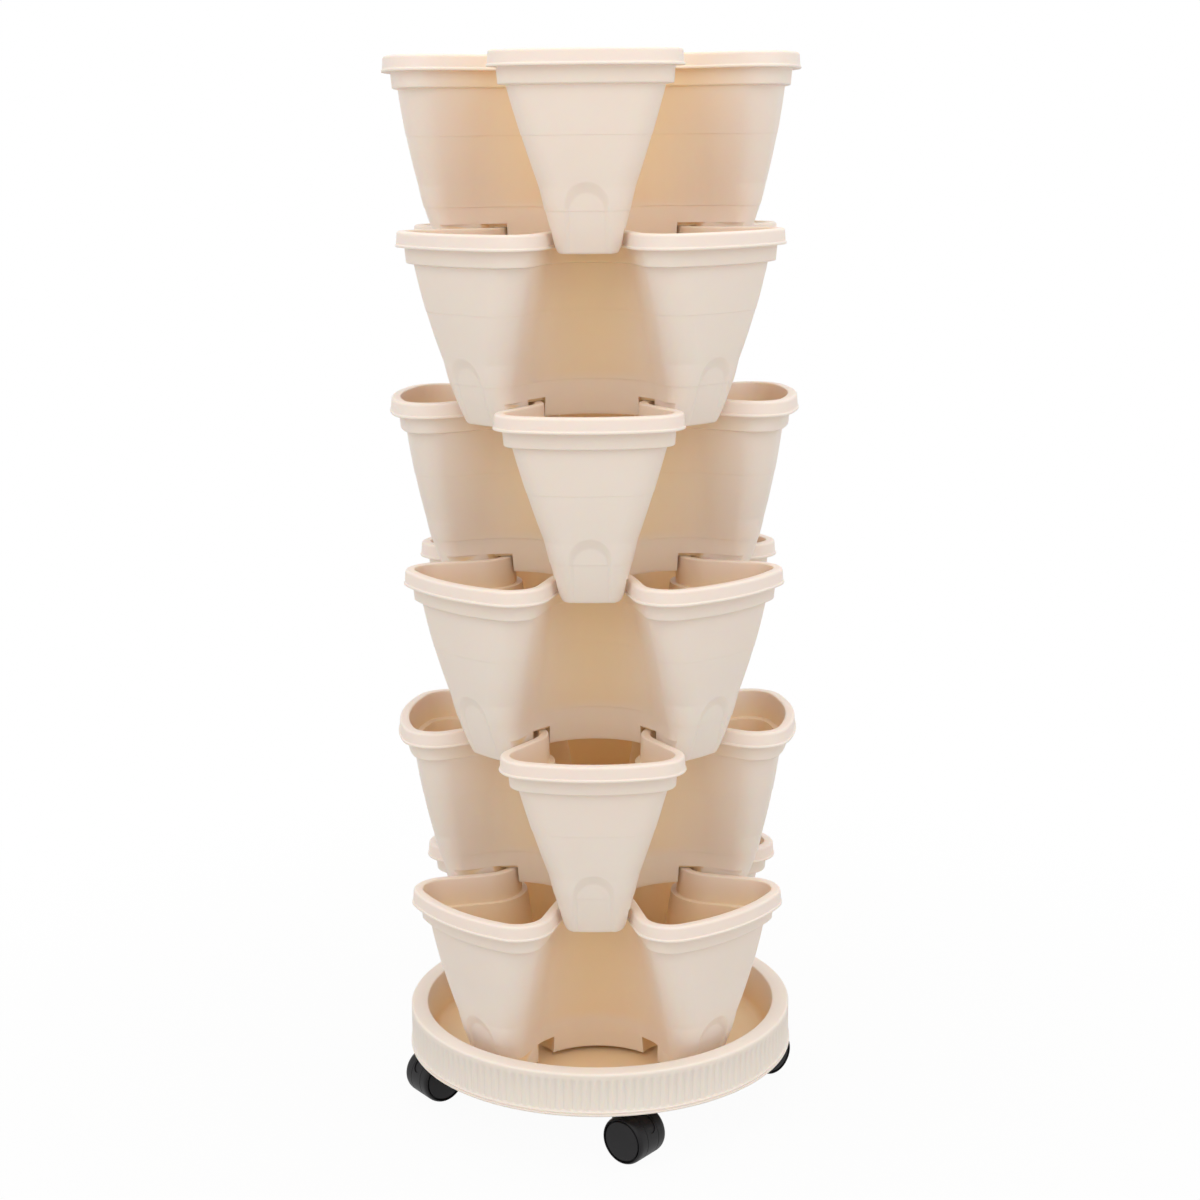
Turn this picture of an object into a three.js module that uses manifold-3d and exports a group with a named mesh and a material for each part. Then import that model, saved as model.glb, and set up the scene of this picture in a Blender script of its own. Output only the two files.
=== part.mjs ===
// Vertical planter tower: six identical four-lobed pots stacked on a round tray that
// rolls on four twin-wheel casters. Millimetres, +Z up, the origin on the floor under
// the tower's axis. The front of the object looks along -Y.
import * as THREE from 'three';
import { mergeVertices } from 'three/addons/utils/BufferGeometryUtils.js';
import Module from 'manifold-3d';

// Stack. Each pot sinks into the one below it by the nesting depth, and its floor stands
// higher than its feet by the plug's rise.
const tierCount = 6;
const lobeCount = 4;
const tierDepth = 158;
const nestingDepth = 16.8;
const plugRise = 4;

// Plan outlines of a pot. Each one has a reach from the axis to the lobe's front, the
// half width of the lobe, the radius of its two front corners, the distance from the
// axis to the floor of the valley between two lobes, and the angle in degrees at which
// the lobe's sides draw in towards the axis. The wall leans in more steeply below the knee.
const lip = { reach: 175, halfWidth: 77.2, corner: 30, valley: 80, taper: 31 };
const bodyTop = { reach: 161.5, halfWidth: 61.5, corner: 20, valley: 67, taper: 30 };
const knee = { reach: 146.6, halfWidth: 37.8, corner: 13, valley: 54.4, taper: 24.6 };
const foot = { reach: 129, halfWidth: 24.8, corner: 6, valley: 46, taper: 21 };
const kneeDrop = 105.6;

// Rim and walls of a pot
const rimHeight = 13;
const rimFlare = 1.4;
const rimWidth = 8.3;
const bandInset = 7.6;
const bandDraft = 1;
const bandHeight = 12.8;
const shoulderDrop = 1.4;
const wall = 2.5;

// Seat of one pot on the rim of the next one down
const seatGap = 0.3;
const seatWidth = 26;
const mouthRise = 3.2;
const channelInnerGap = 1.8;
const channelOuterGap = 3;

// Arched panel at the foot of each lobe, from the knee down, and drain holes that open
// over the pot below
const archWidth = 36;
const archDepth = 1.2;
const archBevel = 4;
const drainRadius = 3;
const drainReach = 56;

// Tray, which is as wide as the feet of the lowest pot need
const trayFeetRoom = 15;
const trayHeight = 37.4;
const trayRimWidth = 15;
const trayWall = 2.6;
const trayFloor = 3;
const trayWallLean = 5;
const trayFillet = 6;
const trayEdgeRound = 2;
const trayLip = 1;
const trayLipHeight = 4;
const trayFeetGap = 0.3;

// Casters, each hung on a pivot with a round plate under the tray's floor
const casterCount = 4;
const casterInset = 33;
const casterBearing = 8.5;
const casterHeadings = [-37, 40, 110, 218];
const casterTrail = 15;
const casterClearance = 0.3;
const plateRadius = 14;
const plateHeight = 1.6;
const stemRadius = 4;
const stemGrip = 14;
const wheelRadius = 20.6;
const wheelWidth = 10.6;
const wheelCrown = 3;
const wheelCrownWidth = 6;
const wheelRecess = 1.2;
const wheelRimWidth = 2;
const axleRadius = 2.4;
const axleInset = 4;
const hoodWidth = 14;
const hoodRadius = 21;
const hoodLift = 5;
const casterHeight = 48;

// One overrun serves every cut
const overrun = 3;

// Facets
const frontSteps = 1;
const cornerSteps = 2;
const valleySteps = 2;
const trayFacets = 36;
const wheelFacets = 12;
const smallFacets = 8;
const drainFacets = 6;
const archSteps = 2;

// Places worked out from the sizes above
const tierPitch = tierDepth - nestingDepth;
const plugDepth = tierDepth - plugRise;
const trayFloorEdge = foot.reach + trayFeetRoom + trayFillet;
const trayRimInner = trayFloorEdge + trayWallLean;
const traySkirt = trayRimInner + trayRimWidth;
const trayRadius = traySkirt + trayLip;
const casterReach = trayRadius - casterInset;
const trayTop = casterHeight + trayHeight;
const trayFloorTop = casterHeight + trayFloor;
const lowestRimTop = trayFloorTop + trayFeetGap + tierDepth;
const seatHeight = seatGap - tierPitch;
const mouthHeight = mouthRise - tierPitch;

const wasm = await Module();
wasm.setup();

// Solids

function toSolid(geometry) {
  const bare = geometry.clone();
  bare.deleteAttribute('normal');
  bare.deleteAttribute('uv');
  const merged = mergeVertices(bare);
  return new wasm.Manifold(new wasm.Mesh({
    numProp: 3,
    vertProperties: new Float32Array(merged.attributes.position.array),
    triVerts: new Uint32Array(merged.index.array),
  }));
}

function toGeometry(solid) {
  const mesh = solid.getMesh();
  const geometry = new THREE.BufferGeometry();
  geometry.setAttribute('position', new THREE.BufferAttribute(mesh.vertProperties, mesh.numProp));
  geometry.setIndex(new THREE.BufferAttribute(mesh.triVerts, 1));
  return geometry;
}

function lathe(points, facets) {
  return new THREE.LatheGeometry(points.map(([x, y]) => new THREE.Vector2(x, y)), facets);
}

function placed(geometry, x, y, z) {
  return geometry.translate(x, y, z);
}

function turned(geometry, degrees) {
  return geometry.rotateZ(THREE.MathUtils.degToRad(degrees));
}

// Plan outline of a pot

function insetOutline(outline, inset) {
  return {
    reach: outline.reach - inset,
    halfWidth: outline.halfWidth - inset,
    corner: Math.max(outline.corner - inset, 0),
    valley: outline.valley - inset,
    taper: outline.taper,
  };
}

// Half a lobe in its own frame, from the middle of its front to the floor of the next
// valley: a front arc about the tower's axis, a corner arc, a straight side, and a
// hollow arc that is tangent to the sides of both neighbouring lobes.
function halfLobe(outline) {
  const side = THREE.MathUtils.degToRad(outline.taper) + Math.PI / 2;
  const valleyAxis = Math.PI / lobeCount;
  const cornerY = outline.halfWidth - outline.corner;
  const cornerReach = outline.reach - outline.corner;
  const cornerStart = Math.asin(cornerY / cornerReach);
  const cornerX = cornerReach * Math.cos(cornerStart);
  const lineOffset = cornerX * Math.cos(side) + cornerY * Math.sin(side) + outline.corner;
  const valleyCentre = (outline.valley - lineOffset) / (1 - Math.cos(side - valleyAxis));
  const valleyRadius = valleyCentre - outline.valley;
  const points = [];
  for (let i = 0; i < frontSteps; i += 1) {
    const angle = cornerStart * i / frontSteps;
    points.push([outline.reach * Math.cos(angle), outline.reach * Math.sin(angle)]);
  }
  for (let i = 0; i <= cornerSteps; i += 1) {
    const angle = THREE.MathUtils.lerp(cornerStart, side, i / cornerSteps);
    points.push([cornerX + outline.corner * Math.cos(angle), cornerY + outline.corner * Math.sin(angle)]);
  }
  for (let i = 0; i <= valleySteps; i += 1) {
    const angle = THREE.MathUtils.lerp(side, valleyAxis, i / valleySteps);
    points.push([
      valleyCentre * Math.cos(valleyAxis) - valleyRadius * Math.cos(angle),
      valleyCentre * Math.sin(valleyAxis) - valleyRadius * Math.sin(angle),
    ]);
  }
  return points;
}

// The whole outline, counter-clockwise, with its first lobe towards -Y
function clover(outline) {
  const half = halfLobe(outline);
  const mirrored = half.slice(1).reverse().map(([x, y]) => [x, -y]);
  const lobe = [...mirrored, ...half.slice(0, -1)];
  const points = [];
  for (let k = 0; k < lobeCount; k += 1) {
    const turn = 2 * Math.PI * k / lobeCount - Math.PI / 2;
    for (const [x, y] of lobe) {
      points.push(new THREE.Vector2(x, y).rotateAround(new THREE.Vector2(), turn));
    }
  }
  return points;
}

// A closed body through a row of rings with the same number of points, capped by the
// plane outlines of its first and last ring
function closedBody(rings, firstOutline, lastOutline) {
  const count = rings[0].length;
  const index = [];
  for (let first = 0; first < (rings.length - 1) * count; first += count) {
    for (let i = 0; i < count; i += 1) {
      const [a, b] = [first + i, first + (i + 1) % count];
      index.push(a, a + count, b, b, a + count, b + count);
    }
  }
  const last = (rings.length - 1) * count;
  for (const [a, b, c] of THREE.ShapeUtils.triangulateShape(firstOutline, [])) {
    index.push(a, b, c);
  }
  for (const [a, b, c] of THREE.ShapeUtils.triangulateShape(lastOutline, [])) {
    index.push(last + a, last + c, last + b);
  }
  const geometry = new THREE.BufferGeometry();
  geometry.setAttribute('position', new THREE.Float32BufferAttribute(rings.flat(2), 3));
  geometry.setIndex(index);
  return geometry;
}

// A closed body through a stack of outlines, from the highest level to the lowest
function loft(levels) {
  const outlines = levels.map(({ outline }) => clover(outline));
  const rings = levels.map(({ z }, level) => outlines[level].map((p) => [p.x, p.y, z]));
  return closedBody(rings, outlines[0], outlines.at(-1));
}

function prism(outline, bottom, top) {
  return loft([{ outline, z: top }, { outline, z: bottom }]);
}

// Pot

function potOutside() {
  const band = insetOutline(lip, bandInset);
  return toSolid(loft([
    { outline: insetOutline(lip, rimFlare), z: 0 },
    { outline: lip, z: -rimHeight },
    { outline: band, z: -rimHeight },
    { outline: insetOutline(band, bandDraft), z: -rimHeight - bandHeight },
    { outline: bodyTop, z: -rimHeight - bandHeight - shoulderDrop },
    { outline: knee, z: -kneeDrop },
    { outline: foot, z: -tierDepth },
  ]));
}

function potInside() {
  const mouth = insetOutline(lip, rimFlare + rimWidth);
  const shoulder = rimHeight + bandHeight + shoulderDrop - wall;
  return toSolid(loft([
    { outline: mouth, z: overrun },
    { outline: insetOutline(mouth, bandDraft), z: shoulderDrop - shoulder },
    { outline: insetOutline(bodyTop, wall), z: -shoulder },
    { outline: insetOutline(knee, wall), z: -kneeDrop },
    { outline: insetOutline(foot, wall), z: wall - tierDepth },
  ]));
}

// The ring-shaped space that the rim of the pot below passes through, standing in the
// frame of the upper pot, which is turned by half a lobe
function rimRing(innerGap, outerGap, top) {
  const halfTurn = 180 / lobeCount;
  const bottom = -tierDepth - overrun;
  const outer = turned(prism(insetOutline(lip, -outerGap), bottom, top), halfTurn);
  const inner = turned(prism(rimInside(innerGap), bottom - overrun, top + overrun), halfTurn);
  return toSolid(outer).subtract(toSolid(inner));
}

function rimInside(gap) {
  return insetOutline(lip, rimFlare + rimWidth + bandDraft + gap);
}

function seatCross(top) {
  const length = 2 * lip.reach;
  const height = mouthRise + wall + overrun;
  const along = new THREE.BoxGeometry(length, seatWidth, height);
  const across = new THREE.BoxGeometry(seatWidth, length, height);
  const z = top + height / 2;
  return toSolid(placed(along, 0, 0, z)).add(toSolid(placed(across, 0, 0, z)));
}

function rimChannel() {
  const low = rimRing(channelInnerGap, channelOuterGap, seatHeight);
  const high = rimRing(channelInnerGap, channelOuterGap, mouthHeight);
  return low.add(high.subtract(seatCross(seatHeight)));
}

function plugRelief(top) {
  return toSolid(turned(prism(rimInside(channelInnerGap), -tierDepth - overrun, top), 180 / lobeCount));
}

// Outline of the arched panel, standing on the foot of a lobe
function archPoints(width, top) {
  const radius = width / 2;
  const shape = new THREE.Shape();
  shape.moveTo(-radius, -tierDepth - overrun);
  shape.lineTo(radius, -tierDepth - overrun);
  shape.lineTo(radius, top - radius);
  shape.absarc(0, top - radius, radius, 0, Math.PI, false);
  return shape.getPoints(archSteps);
}

// The panel as a body that follows the lean of the lobe's front below the knee. Its inner
// face is smaller than its outer one, so that its upper edge is bevelled. The depth is
// taken square to the axis, from the front of the lobe.
function archBody() {
  const outer = archPoints(archWidth, -kneeDrop);
  const inner = archPoints(archWidth - archBevel, -kneeDrop - archBevel);
  const lean = (knee.reach - foot.reach) / (tierDepth - kneeDrop);
  const frontAt = (z) => foot.reach + (z + tierDepth) * lean;
  const rings = [
    outer.map((p) => [p.x, -frontAt(p.y) - overrun, p.y]),
    outer.map((p) => [p.x, -frontAt(p.y), p.y]),
    inner.map((p) => [p.x, -frontAt(p.y) + archDepth, p.y]),
  ];
  return closedBody(rings, outer, inner);
}

function archPanels() {
  let panels = toSolid(archBody());
  for (let k = 1; k < lobeCount; k += 1) {
    panels = panels.add(toSolid(turned(archBody(), 360 * k / lobeCount)));
  }
  return panels;
}

function upright(radius, bottom, top, facets) {
  const cylinder = new THREE.CylinderGeometry(radius, radius, top - bottom, facets);
  return placed(cylinder.rotateX(Math.PI / 2), 0, 0, (top + bottom) / 2);
}

// One drain in the middle of the floor and one at the root of each lobe
function drainHoles() {
  const drain = () => upright(drainRadius, -plugDepth - overrun, wall - plugDepth + overrun, drainFacets);
  let holes = toSolid(drain());
  for (let k = 0; k < lobeCount; k += 1) {
    holes = holes.add(toSolid(turned(placed(drain(), 0, -drainReach, 0), 360 * k / lobeCount)));
  }
  return holes;
}

function potSolid() {
  const cavity = potInside()
    .subtract(rimRing(channelInnerGap + wall, channelOuterGap + wall, mouthHeight + wall))
    .subtract(plugRelief(wall - plugDepth));
  return potOutside()
    .subtract(rimChannel())
    .subtract(plugRelief(-plugDepth))
    .subtract(cavity)
    .subtract(archPanels())
    .subtract(drainHoles());
}

// Tray

// Dish, flat rim and a skirt with a lip along its lower edge
function trayGeometry() {
  return lathe([
    [0, casterHeight],
    [trayFloorEdge + trayWall, casterHeight],
    [trayRimInner + trayWall, trayTop - trayWall],
    [traySkirt - trayWall, trayTop - trayWall],
    [traySkirt - trayWall, casterHeight],
    [trayRadius, casterHeight],
    [trayRadius, casterHeight + trayLipHeight],
    [traySkirt, casterHeight + trayLipHeight],
    [traySkirt, trayTop - trayEdgeRound],
    [traySkirt - trayEdgeRound, trayTop],
    [trayRimInner, trayTop],
    [trayFloorEdge, trayFloorTop + trayFillet],
    [trayFloorEdge - trayFillet, trayFloorTop],
    [0, trayFloorTop],
  ], trayFacets).rotateX(Math.PI / 2);
}

// Caster pieces, each in a frame with its stem on the Z axis and its wheels off to +X,
// so that a turn about Z swivels it

const plateTop = casterHeight - casterClearance;
const hoodTop = plateTop - plateHeight - casterClearance;

function stemGeometry() {
  return lathe([
    [0, hoodTop - stemGrip],
    [stemRadius, hoodTop - stemGrip],
    [stemRadius, plateTop - plateHeight],
    [plateRadius, plateTop - plateHeight],
    [plateRadius, plateTop],
    [0, plateTop],
  ], smallFacets).rotateX(Math.PI / 2);
}

// A barrel between the wheels, closed over the top and open to the floor, with a neck
// that takes the stem
function hoodGeometry() {
  const barrel = new THREE.CylinderGeometry(hoodRadius, hoodRadius, hoodWidth, wheelFacets);
  const body = toSolid(placed(barrel, casterTrail, 0, wheelRadius));
  const neck = upright(hoodWidth / 2, wheelRadius, hoodTop, smallFacets);
  const limit = new THREE.BoxGeometry(4 * hoodRadius, 4 * hoodRadius, hoodTop - hoodLift);
  const boreBottom = hoodTop - stemGrip - casterClearance;
  const bore = upright(stemRadius + casterClearance, boreBottom, hoodTop + overrun, smallFacets);
  const eyeRadius = axleRadius + casterClearance;
  const eye = new THREE.CylinderGeometry(eyeRadius, eyeRadius, hoodWidth + 2 * overrun, smallFacets);
  return toGeometry(body
    .add(toSolid(neck))
    .intersect(toSolid(placed(limit, 0, 0, (hoodTop + hoodLift) / 2)))
    .subtract(toSolid(bore))
    .subtract(toSolid(placed(eye, casterTrail, 0, wheelRadius))));
}

function axleGeometry() {
  const length = hoodWidth + 2 * (wheelWidth - axleInset);
  const rod = new THREE.CylinderGeometry(axleRadius, axleRadius, length, smallFacets);
  return placed(rod, casterTrail, 0, wheelRadius);
}

// Wheel on the +Y side: a crowned tread and a dished outer face, with a blind bore
function wheelGeometry() {
  const inner = hoodWidth / 2 + casterClearance;
  const outer = inner + wheelWidth;
  const boreEnd = hoodWidth / 2 + wheelWidth - axleInset + casterClearance;
  const bore = axleRadius + casterClearance;
  const dish = wheelRadius - wheelCrown - wheelRimWidth;
  const wheel = lathe([
    [0, boreEnd],
    [bore, boreEnd],
    [bore, inner],
    [wheelRadius, inner],
    [wheelRadius, outer - wheelCrownWidth],
    [wheelRadius - wheelCrown, outer],
    [dish, outer],
    [dish - wheelRecess, outer - wheelRecess],
    [0, outer - wheelRecess],
  ], wheelFacets);
  return placed(wheel, casterTrail, 0, wheelRadius);
}

// Assembly

function plastic(color, roughness) {
  return new THREE.MeshStandardMaterial({ color, roughness, metalness: 0 });
}

function steel() {
  return new THREE.MeshStandardMaterial({ color: 0x9a9c9f, roughness: 0.35, metalness: 1 });
}

const cream = 0xe9d9c4;
const black = 0x1d1d20;
const planter = new THREE.Group();

function addPiece(parent, name, geometry, material) {
  const mesh = new THREE.Mesh(geometry, material);
  mesh.name = name;
  parent.add(mesh);
  return mesh;
}

addPiece(planter, 'tray', trayGeometry(), plastic(cream, 0.55));

const potGeometry = toGeometry(potSolid());
for (let tier = 1; tier <= tierCount; tier += 1) {
  const pot = addPiece(planter, `tier_${tier}`, potGeometry.clone(), plastic(cream, 0.55));
  pot.position.z = lowestRimTop + (tierCount - tier) * tierPitch;
  pot.rotation.z = (tier - 1) * Math.PI / lobeCount;
}

for (let k = 0; k < casterCount; k += 1) {
  const number = k + 1;
  const bearing = THREE.MathUtils.degToRad(casterBearing) + 2 * Math.PI * k / casterCount;
  const caster = new THREE.Group();
  caster.position.set(casterReach * Math.sin(bearing), -casterReach * Math.cos(bearing), 0);
  caster.rotation.z = THREE.MathUtils.degToRad(casterHeadings[k]);
  addPiece(caster, `caster_${number}_stem`, stemGeometry(), steel());
  addPiece(caster, `caster_${number}_hood`, hoodGeometry(), plastic(black, 0.45));
  addPiece(caster, `caster_${number}_axle`, axleGeometry(), steel());
  addPiece(caster, `caster_${number}_wheel_left`, wheelGeometry(), plastic(black, 0.4));
  const right = wheelGeometry().rotateZ(Math.PI).translate(2 * casterTrail, 0, 0);
  addPiece(caster, `caster_${number}_wheel_right`, right, plastic(black, 0.4));
  planter.add(caster);
}

export default planter;
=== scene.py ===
# %% [markdown]
# # A vertical planter tower, as a lesson in Blender
# The object is a stack of six moulded pots on a round tray with four twin-wheel casters.
# The CAD model is the frame: it fixes every size and place, and the pieces made here are
# finer skins for the same solids. Loading it first means that nothing has to be fitted by eye.

# %% The frame
import math

import bmesh
import bpy
import numpy as np
from mathutils import Matrix, Vector


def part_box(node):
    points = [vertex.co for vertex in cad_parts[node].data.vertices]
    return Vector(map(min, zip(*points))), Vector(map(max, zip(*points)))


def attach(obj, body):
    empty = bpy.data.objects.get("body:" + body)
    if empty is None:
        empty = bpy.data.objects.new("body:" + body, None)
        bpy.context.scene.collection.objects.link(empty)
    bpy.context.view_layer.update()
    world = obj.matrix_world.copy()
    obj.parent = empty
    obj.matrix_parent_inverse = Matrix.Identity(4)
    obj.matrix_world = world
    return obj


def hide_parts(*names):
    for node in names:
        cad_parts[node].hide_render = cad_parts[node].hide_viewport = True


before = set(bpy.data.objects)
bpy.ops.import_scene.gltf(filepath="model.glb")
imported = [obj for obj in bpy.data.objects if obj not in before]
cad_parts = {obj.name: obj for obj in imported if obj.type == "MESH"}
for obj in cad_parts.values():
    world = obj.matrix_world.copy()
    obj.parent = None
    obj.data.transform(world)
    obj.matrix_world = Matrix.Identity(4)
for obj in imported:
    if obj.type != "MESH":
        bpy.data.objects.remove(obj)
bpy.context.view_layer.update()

scene = bpy.context.scene


# %% [markdown]
# ## The camera
# The photograph was taken from just under the height of the top rim, so the upper pots are
# seen level and the lower ones from above. A camera that is placed by rotation angles is hard
# to read, so it is built from three directions: where it looks, its right and its up.

# %% Camera
CAMERA_X, CAMERA_Y = 0.0572, -1.8159
CAMERA_OVER_LOWEST_RIM = 0.63992
CAMERA_HEADING = math.radians(1.80522)
CAMERA_DIP = math.radians(10.5125)
CAMERA_ROLL = math.radians(-0.55)
SENSOR_WIDTH = 36.0
PICTURE_WIDTH = 1200.0
FOCAL_PIXELS = 2125.32
OPTICAL_CENTRE = (595.5, 530.104)

camera_place = Vector((CAMERA_X, CAMERA_Y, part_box("tier_6")[1].z + CAMERA_OVER_LOWEST_RIM))
looking = Vector((
    -math.sin(CAMERA_HEADING) * math.cos(CAMERA_DIP),
    math.cos(CAMERA_HEADING) * math.cos(CAMERA_DIP),
    -math.sin(CAMERA_DIP),
))
level_right = Vector((math.cos(CAMERA_HEADING), math.sin(CAMERA_HEADING), 0.0))
level_up = level_right.cross(looking)
camera_right = level_right * math.cos(CAMERA_ROLL) + level_up * math.sin(CAMERA_ROLL)
camera_up = level_up * math.cos(CAMERA_ROLL) - level_right * math.sin(CAMERA_ROLL)

camera_data = bpy.data.cameras.new("camera")
camera_data.sensor_width = SENSOR_WIDTH
camera_data.lens = SENSOR_WIDTH * FOCAL_PIXELS / PICTURE_WIDTH
camera_data.shift_x = (PICTURE_WIDTH / 2 - OPTICAL_CENTRE[0]) / PICTURE_WIDTH
camera_data.shift_y = (OPTICAL_CENTRE[1] - PICTURE_WIDTH / 2) / PICTURE_WIDTH
camera = bpy.data.objects.new("camera", camera_data)
axes = Matrix((camera_right, camera_up, -looking)).transposed()
camera.matrix_world = Matrix.Translation(camera_place) @ axes.to_4x4()
scene.collection.objects.link(camera)
scene.camera = camera
print("lens", round(camera_data.lens, 2), "mm")

# %% [markdown]
# ## Helpers for node trees
# Materials and Geometry Nodes are both graphs of nodes. One function that adds a node, sets
# its options and wires its inputs keeps every tree below readable as a short list.

# %% Node helper
def add(tree, kind, inputs=None, **settings):
    """Adds a node; an input takes a plain value, or a socket, which is linked."""
    node = tree.nodes.new(kind)
    for name, value in settings.items():
        setattr(node, name, value)
    for key, value in (inputs or {}).items():
        if isinstance(value, bpy.types.NodeSocket):
            tree.links.new(value, node.inputs[key])
        else:
            node.inputs[key].default_value = value
    return node


def linear(code):
    """The linear colour of an sRGB hex code."""
    parts = [int(code[i:i + 2], 16) / 255 for i in (0, 2, 4)]
    return (*[p / 12.92 if p <= 0.04045 else ((p + 0.055) / 1.055) ** 2.4 for p in parts], 1.0)


def new_material(name):
    """An empty material, its tree, and its Principled shader wired to the output."""
    material = bpy.data.materials.new(name)
    material.use_nodes = True
    tree = material.node_tree
    tree.nodes.clear()
    shader = add(tree, "ShaderNodeBsdfPrincipled")
    add(tree, "ShaderNodeOutputMaterial", {"Surface": shader.outputs["BSDF"]})
    return material, tree, shader


print("white is", linear("FFFFFF"))

# %% [markdown]
# ## Cream polypropylene
# The pots and tray are injection-moulded polypropylene with a spark-eroded mould surface:
# satin, never glossy, a little translucent, with a colour that wanders very slightly where the
# melt met and cooled. The grain of the real mould is about 0.2 mm, too fine for the picture, so
# it is drawn at about 1 mm and very shallow. Red light travels further in this plastic than
# blue light, so what reaches a deep fold has passed through the walls and turned honey
# coloured. Subsurface scattering gives that glow. The folds are also painted a deeper honey
# colour: painted shade, standing in for light that bounced between the walls and came through
# them. The material mixes it in by an attribute named painted_fold_shade: every piece brings its own.

# %% Cream material
MM = 0.001
DULLER, GLOSSIER = 0.05, 0.04


def moulded_plastic(name, light, dark, roughness, grain_mm, grain_depth_mm, cloud_mm, painted_shade_colour=None):
    """A moulded plastic: slow clouds of colour, a fine grain, a drift in the gloss, and painted shade in the
    folds when a shade colour is given.
    """
    material, tree, shader = new_material(name)
    place = add(tree, "ShaderNodeTexCoord").outputs["Object"]
    clouds = add(tree, "ShaderNodeTexNoise", {
        "Vector": place, "Scale": 1 / (cloud_mm * MM), "Detail": 3.0, "Roughness": 0.55,
    })
    grain = add(tree, "ShaderNodeTexNoise", {
        "Vector": place, "Scale": 1 / (grain_mm * MM), "Detail": 2.0, "Roughness": 0.6,
    })
    tint = add(tree, "ShaderNodeMix", {
        "Factor": clouds.outputs["Fac"], "A": linear(dark), "B": linear(light),
    }, data_type="RGBA")
    gloss = add(tree, "ShaderNodeMapRange", {
        "Value": grain.outputs["Fac"], "To Min": roughness - GLOSSIER, "To Max": roughness + DULLER,
    })
    bump = add(tree, "ShaderNodeBump", {
        "Height": grain.outputs["Fac"], "Distance": grain_depth_mm * MM, "Strength": 0.6,
    })
    colour = tint.outputs["Result"]
    # Painted shade: the colour goes towards a deeper honey where the painted_fold_shade attribute is high,
    # in the folds and inside.
    if painted_shade_colour:
        painted_fold_shade = add(tree, "ShaderNodeAttribute", attribute_type="GEOMETRY", attribute_name="painted_fold_shade")
        colour = add(tree, "ShaderNodeMix", {
            "Factor": painted_fold_shade.outputs["Fac"], "A": colour, "B": linear(painted_shade_colour),
        }, data_type="RGBA").outputs["Result"]
    tree.links.new(colour, shader.inputs["Base Color"])
    tree.links.new(gloss.outputs["Result"], shader.inputs["Roughness"])
    tree.links.new(bump.outputs["Normal"], shader.inputs["Normal"])
    return material, shader


# FFD899 is painted shade: the honey colour mixed into the folds between the lobes and inside the pots and
# the tray's dish.
cream, cream_shader = moulded_plastic(
    "polypropylene_moulded_cream", "F9EBE1", "F6E7DC", 0.5, 1.1, 0.03, 60, painted_shade_colour="FFD899",
)
cream_shader.inputs["IOR"].default_value = 1.49
cream_shader.inputs["Subsurface Weight"].default_value = 0.4
cream_shader.inputs["Subsurface Radius"].default_value = (1.0, 0.6, 0.35)
cream_shader.inputs["Subsurface Scale"].default_value = 5 * MM
print("cream", cream.name)

# %% [markdown]
# ## Black nylon and plated steel
# Caster wheels and hoods are moulded from black nylon: darker, a little glossier, with soft
# scuffs. The pivots and axles are zinc-plated steel, turned on a lathe, so the gloss of an
# upright pivot is stretched round it in fine rings. The axles lie hidden in the wheels and take
# the same pattern.

# %% Caster materials
nylon, nylon_shader = moulded_plastic("nylon_moulded_black", "1B1A1C", "141315", 0.45, 0.8, 0.03, 9)
nylon_shader.inputs["IOR"].default_value = 1.53
nylon_shader.inputs["Specular IOR Level"].default_value = 0.25

RINGS_PER_METRE = (120.0, 120.0, 2600.0)
steel, steel_tree, steel_shader = new_material("steel_zinc_plated")
steel_place = add(steel_tree, "ShaderNodeTexCoord").outputs["Object"]
turning_marks = add(steel_tree, "ShaderNodeMapping", {"Vector": steel_place, "Scale": RINGS_PER_METRE})
steel_rings = add(steel_tree, "ShaderNodeTexNoise", {
    "Vector": turning_marks.outputs["Vector"], "Scale": 1.0, "Detail": 2.0,
})
steel_gloss = add(steel_tree, "ShaderNodeMapRange", {
    "Value": steel_rings.outputs["Fac"], "To Min": 0.24, "To Max": 0.42,
})
steel_tint = add(steel_tree, "ShaderNodeMix", {
    "Factor": steel_rings.outputs["Fac"], "A": linear("B4B6BA"), "B": linear("CACBCC"),
}, data_type="RGBA")
steel_shader.inputs["Metallic"].default_value = 1.0
steel_tree.links.new(steel_tint.outputs["Result"], steel_shader.inputs["Base Color"])
steel_tree.links.new(steel_gloss.outputs["Result"], steel_shader.inputs["Roughness"])
print("materials", cream.name, nylon.name, steel.name)

# %% [markdown]
# ## The plan of a pot
# Seen from above a pot is a clover of four lobes. Half a lobe is a front arc about the tower's
# axis, a corner arc, a straight side and a hollow arc in the valley, each tangent to the next.
# It could be drawn with Bezier handles, but a rule keeps all walls parallel: an inner wall is
# the same plan with every size reduced by the wall's thickness.

# %% Plan sizes and rule
LOBES = 4
LIP = {"reach": 175.0, "half_width": 77.2, "corner": 30.0, "valley": 80.0, "taper": 31.0}
BODY_TOP = {"reach": 161.5, "half_width": 62.4, "corner": 22.0, "valley": 67.0, "taper": 30.0}
KNEE = {"reach": 146.6, "half_width": 38.3, "corner": 19.5, "valley": 54.4, "taper": 24.6}
FOOT = {"reach": 129.0, "half_width": 25.6, "corner": 12.0, "valley": 46.0, "taper": 21.0}
FRONT_STEPS, CORNER_STEPS, VALLEY_STEPS = 24, 9, 14


def inset(plan, by):
    """The plan of a wall that stands a distance inside another."""
    smaller = {key: value - by for key, value in plan.items()}
    smaller["corner"] = max(smaller["corner"], 0.0)
    smaller["taper"] = plan["taper"]
    return smaller


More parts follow.
